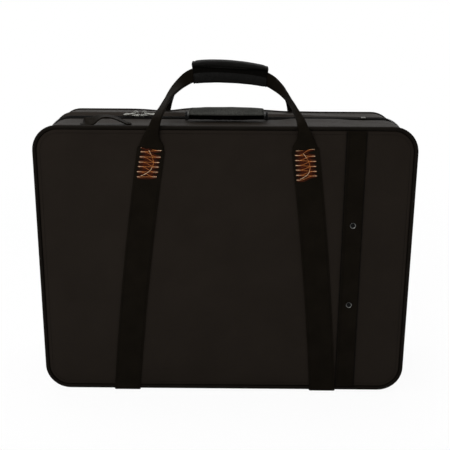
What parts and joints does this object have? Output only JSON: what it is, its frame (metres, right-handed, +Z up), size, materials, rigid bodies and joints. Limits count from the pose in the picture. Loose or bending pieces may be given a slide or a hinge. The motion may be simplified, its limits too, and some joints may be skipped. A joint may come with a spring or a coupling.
{
  "type": "trumpet case",
  "caption": "Soft-sided zipped instrument case standing on its hinge side, with wrapped webbing carry loops, a low top handle, a snapped music pocket and padded lanes inside.",
  "frame": {"origin": "on the floor under the middle of the standing case", "axes": "+X along the case's length to the viewer's right, +Y from the front (pocket) panel to the back panel, +Z up"},
  "size_m": [0.562, 0.1994, 0.5057],
  "materials": {
    "nylon": "coarse woven nylon over a stiffened board, matt dark charcoal",
    "piping": "black vinyl-covered cord with a dull sheen",
    "plush": "soft charcoal plush over foam",
    "webbing": "ribbed black nylon webbing",
    "leatherette": "black grained leatherette with a soft sheen",
    "zipper_tape": "black woven tape with a nylon coil",
    "nickel": "polished nickel plate",
    "rubber": "matt black rubber",
    "black_plastic": "moulded black nylon",
    "steel": "plain drawn steel"
  },
  "bodies": {
    "base": {"base_shell": "nylon", "base_lining": "plush", "base_piping": "piping", "pocket_panel": "nylon", "snap_stud_upper": "nickel", "snap_stud_lower": "nickel", "divider_1": "plush", "divider_2": "plush", "instrument_rest_1": "plush", "instrument_rest_2": "plush", "instrument_rest_3": "plush", "zipper_tape_base": "zipper_tape", "zipper_end_stop": "nickel", "hinge_tape_base": "webbing", "foot_front_left": "rubber", "foot_front_right": "rubber", "front_strap_left": "webbing", "front_strap_right": "webbing", "hook_loop": "webbing", "handle_bracket_left": "black_plastic", "handle_bracket_right": "black_plastic"},
    "top_handle": {"handle_core": "steel", "handle_grip": "leatherette"},
    "strip": {"pocket_strip": "webbing", "snap_cap_upper": "nickel", "snap_cap_lower": "nickel"},
    "front_carry": {"front_loop": "webbing", "handle_wrap": "leatherette"},
    "lid": {"lid_shell": "nylon", "lid_lining": "plush", "lid_piping": "piping", "back_panel": "nylon", "zipper_tape_lid": "zipper_tape", "hinge_tape_lid": "webbing", "foot_rear_left": "rubber", "foot_rear_right": "rubber", "rear_strap_left": "webbing", "rear_strap_right": "webbing"},
    "rear_carry": {"rear_loop": "webbing"},
    "slider_l": {"slider_left": "nickel"},
    "slider_r": {"slider_right": "nickel"},
    "pull_l": {"pull_left": "nickel"},
    "pull_r": {"pull_right": "nickel"}
  },
  "joints": [
    {"name": "lid_hinge", "type": "hinge", "parent": "base", "child": "lid", "pos_m": [0, 0.008, 0.0045], "axis": [-1, 0, 0], "range_deg": [0, 165], "deforming": ["handle_wrap"]},
    {"name": "front_loop_fold", "type": "hinge", "parent": "base", "child": "front_carry", "pos_m": [0, -0.0946, 0.39], "axis": [1, 0, 0], "range_deg": [0, 150], "deforming": ["handle_wrap"]},
    {"name": "rear_loop_fold", "type": "hinge", "parent": "lid", "child": "rear_carry", "pos_m": [0, 0.0946, 0.39], "axis": [-1, 0, 0], "range_deg": [0, 150], "deforming": ["handle_wrap"]},
    {"name": "top_handle_lift", "type": "hinge", "parent": "base", "child": "top_handle", "pos_m": [0.0015, -0.0065, 0.426], "axis": [-1, 0, 0], "range_deg": [0, 90]},
    {"name": "strip_turn", "type": "hinge", "parent": "base", "child": "strip", "pos_m": [0.1755, -0.0942, 0.212], "axis": [0, 0, -1], "range_deg": [0, 110]},
    {"name": "slider_left_travel", "type": "slide", "parent": "base", "child": "slider_l", "axis": [-1, 0, 0], "range_m": [0, 0.095]},
    {"name": "slider_right_travel", "type": "slide", "parent": "base", "child": "slider_r", "axis": [1, 0, 0], "range_m": [0, 0.33]},
    {"name": "pull_left_swing", "type": "hinge", "parent": "slider_l", "child": "pull_l", "pos_m": [-0.1405, 0.008, 0.4254], "axis": [0, 1, 0], "range_deg": [0, 110]},
    {"name": "pull_right_swing", "type": "hinge", "parent": "slider_r", "child": "pull_r", "pos_m": [-0.127, 0.008, 0.4254], "axis": [0, -1, 0], "range_deg": [0, 110]}
  ]
}
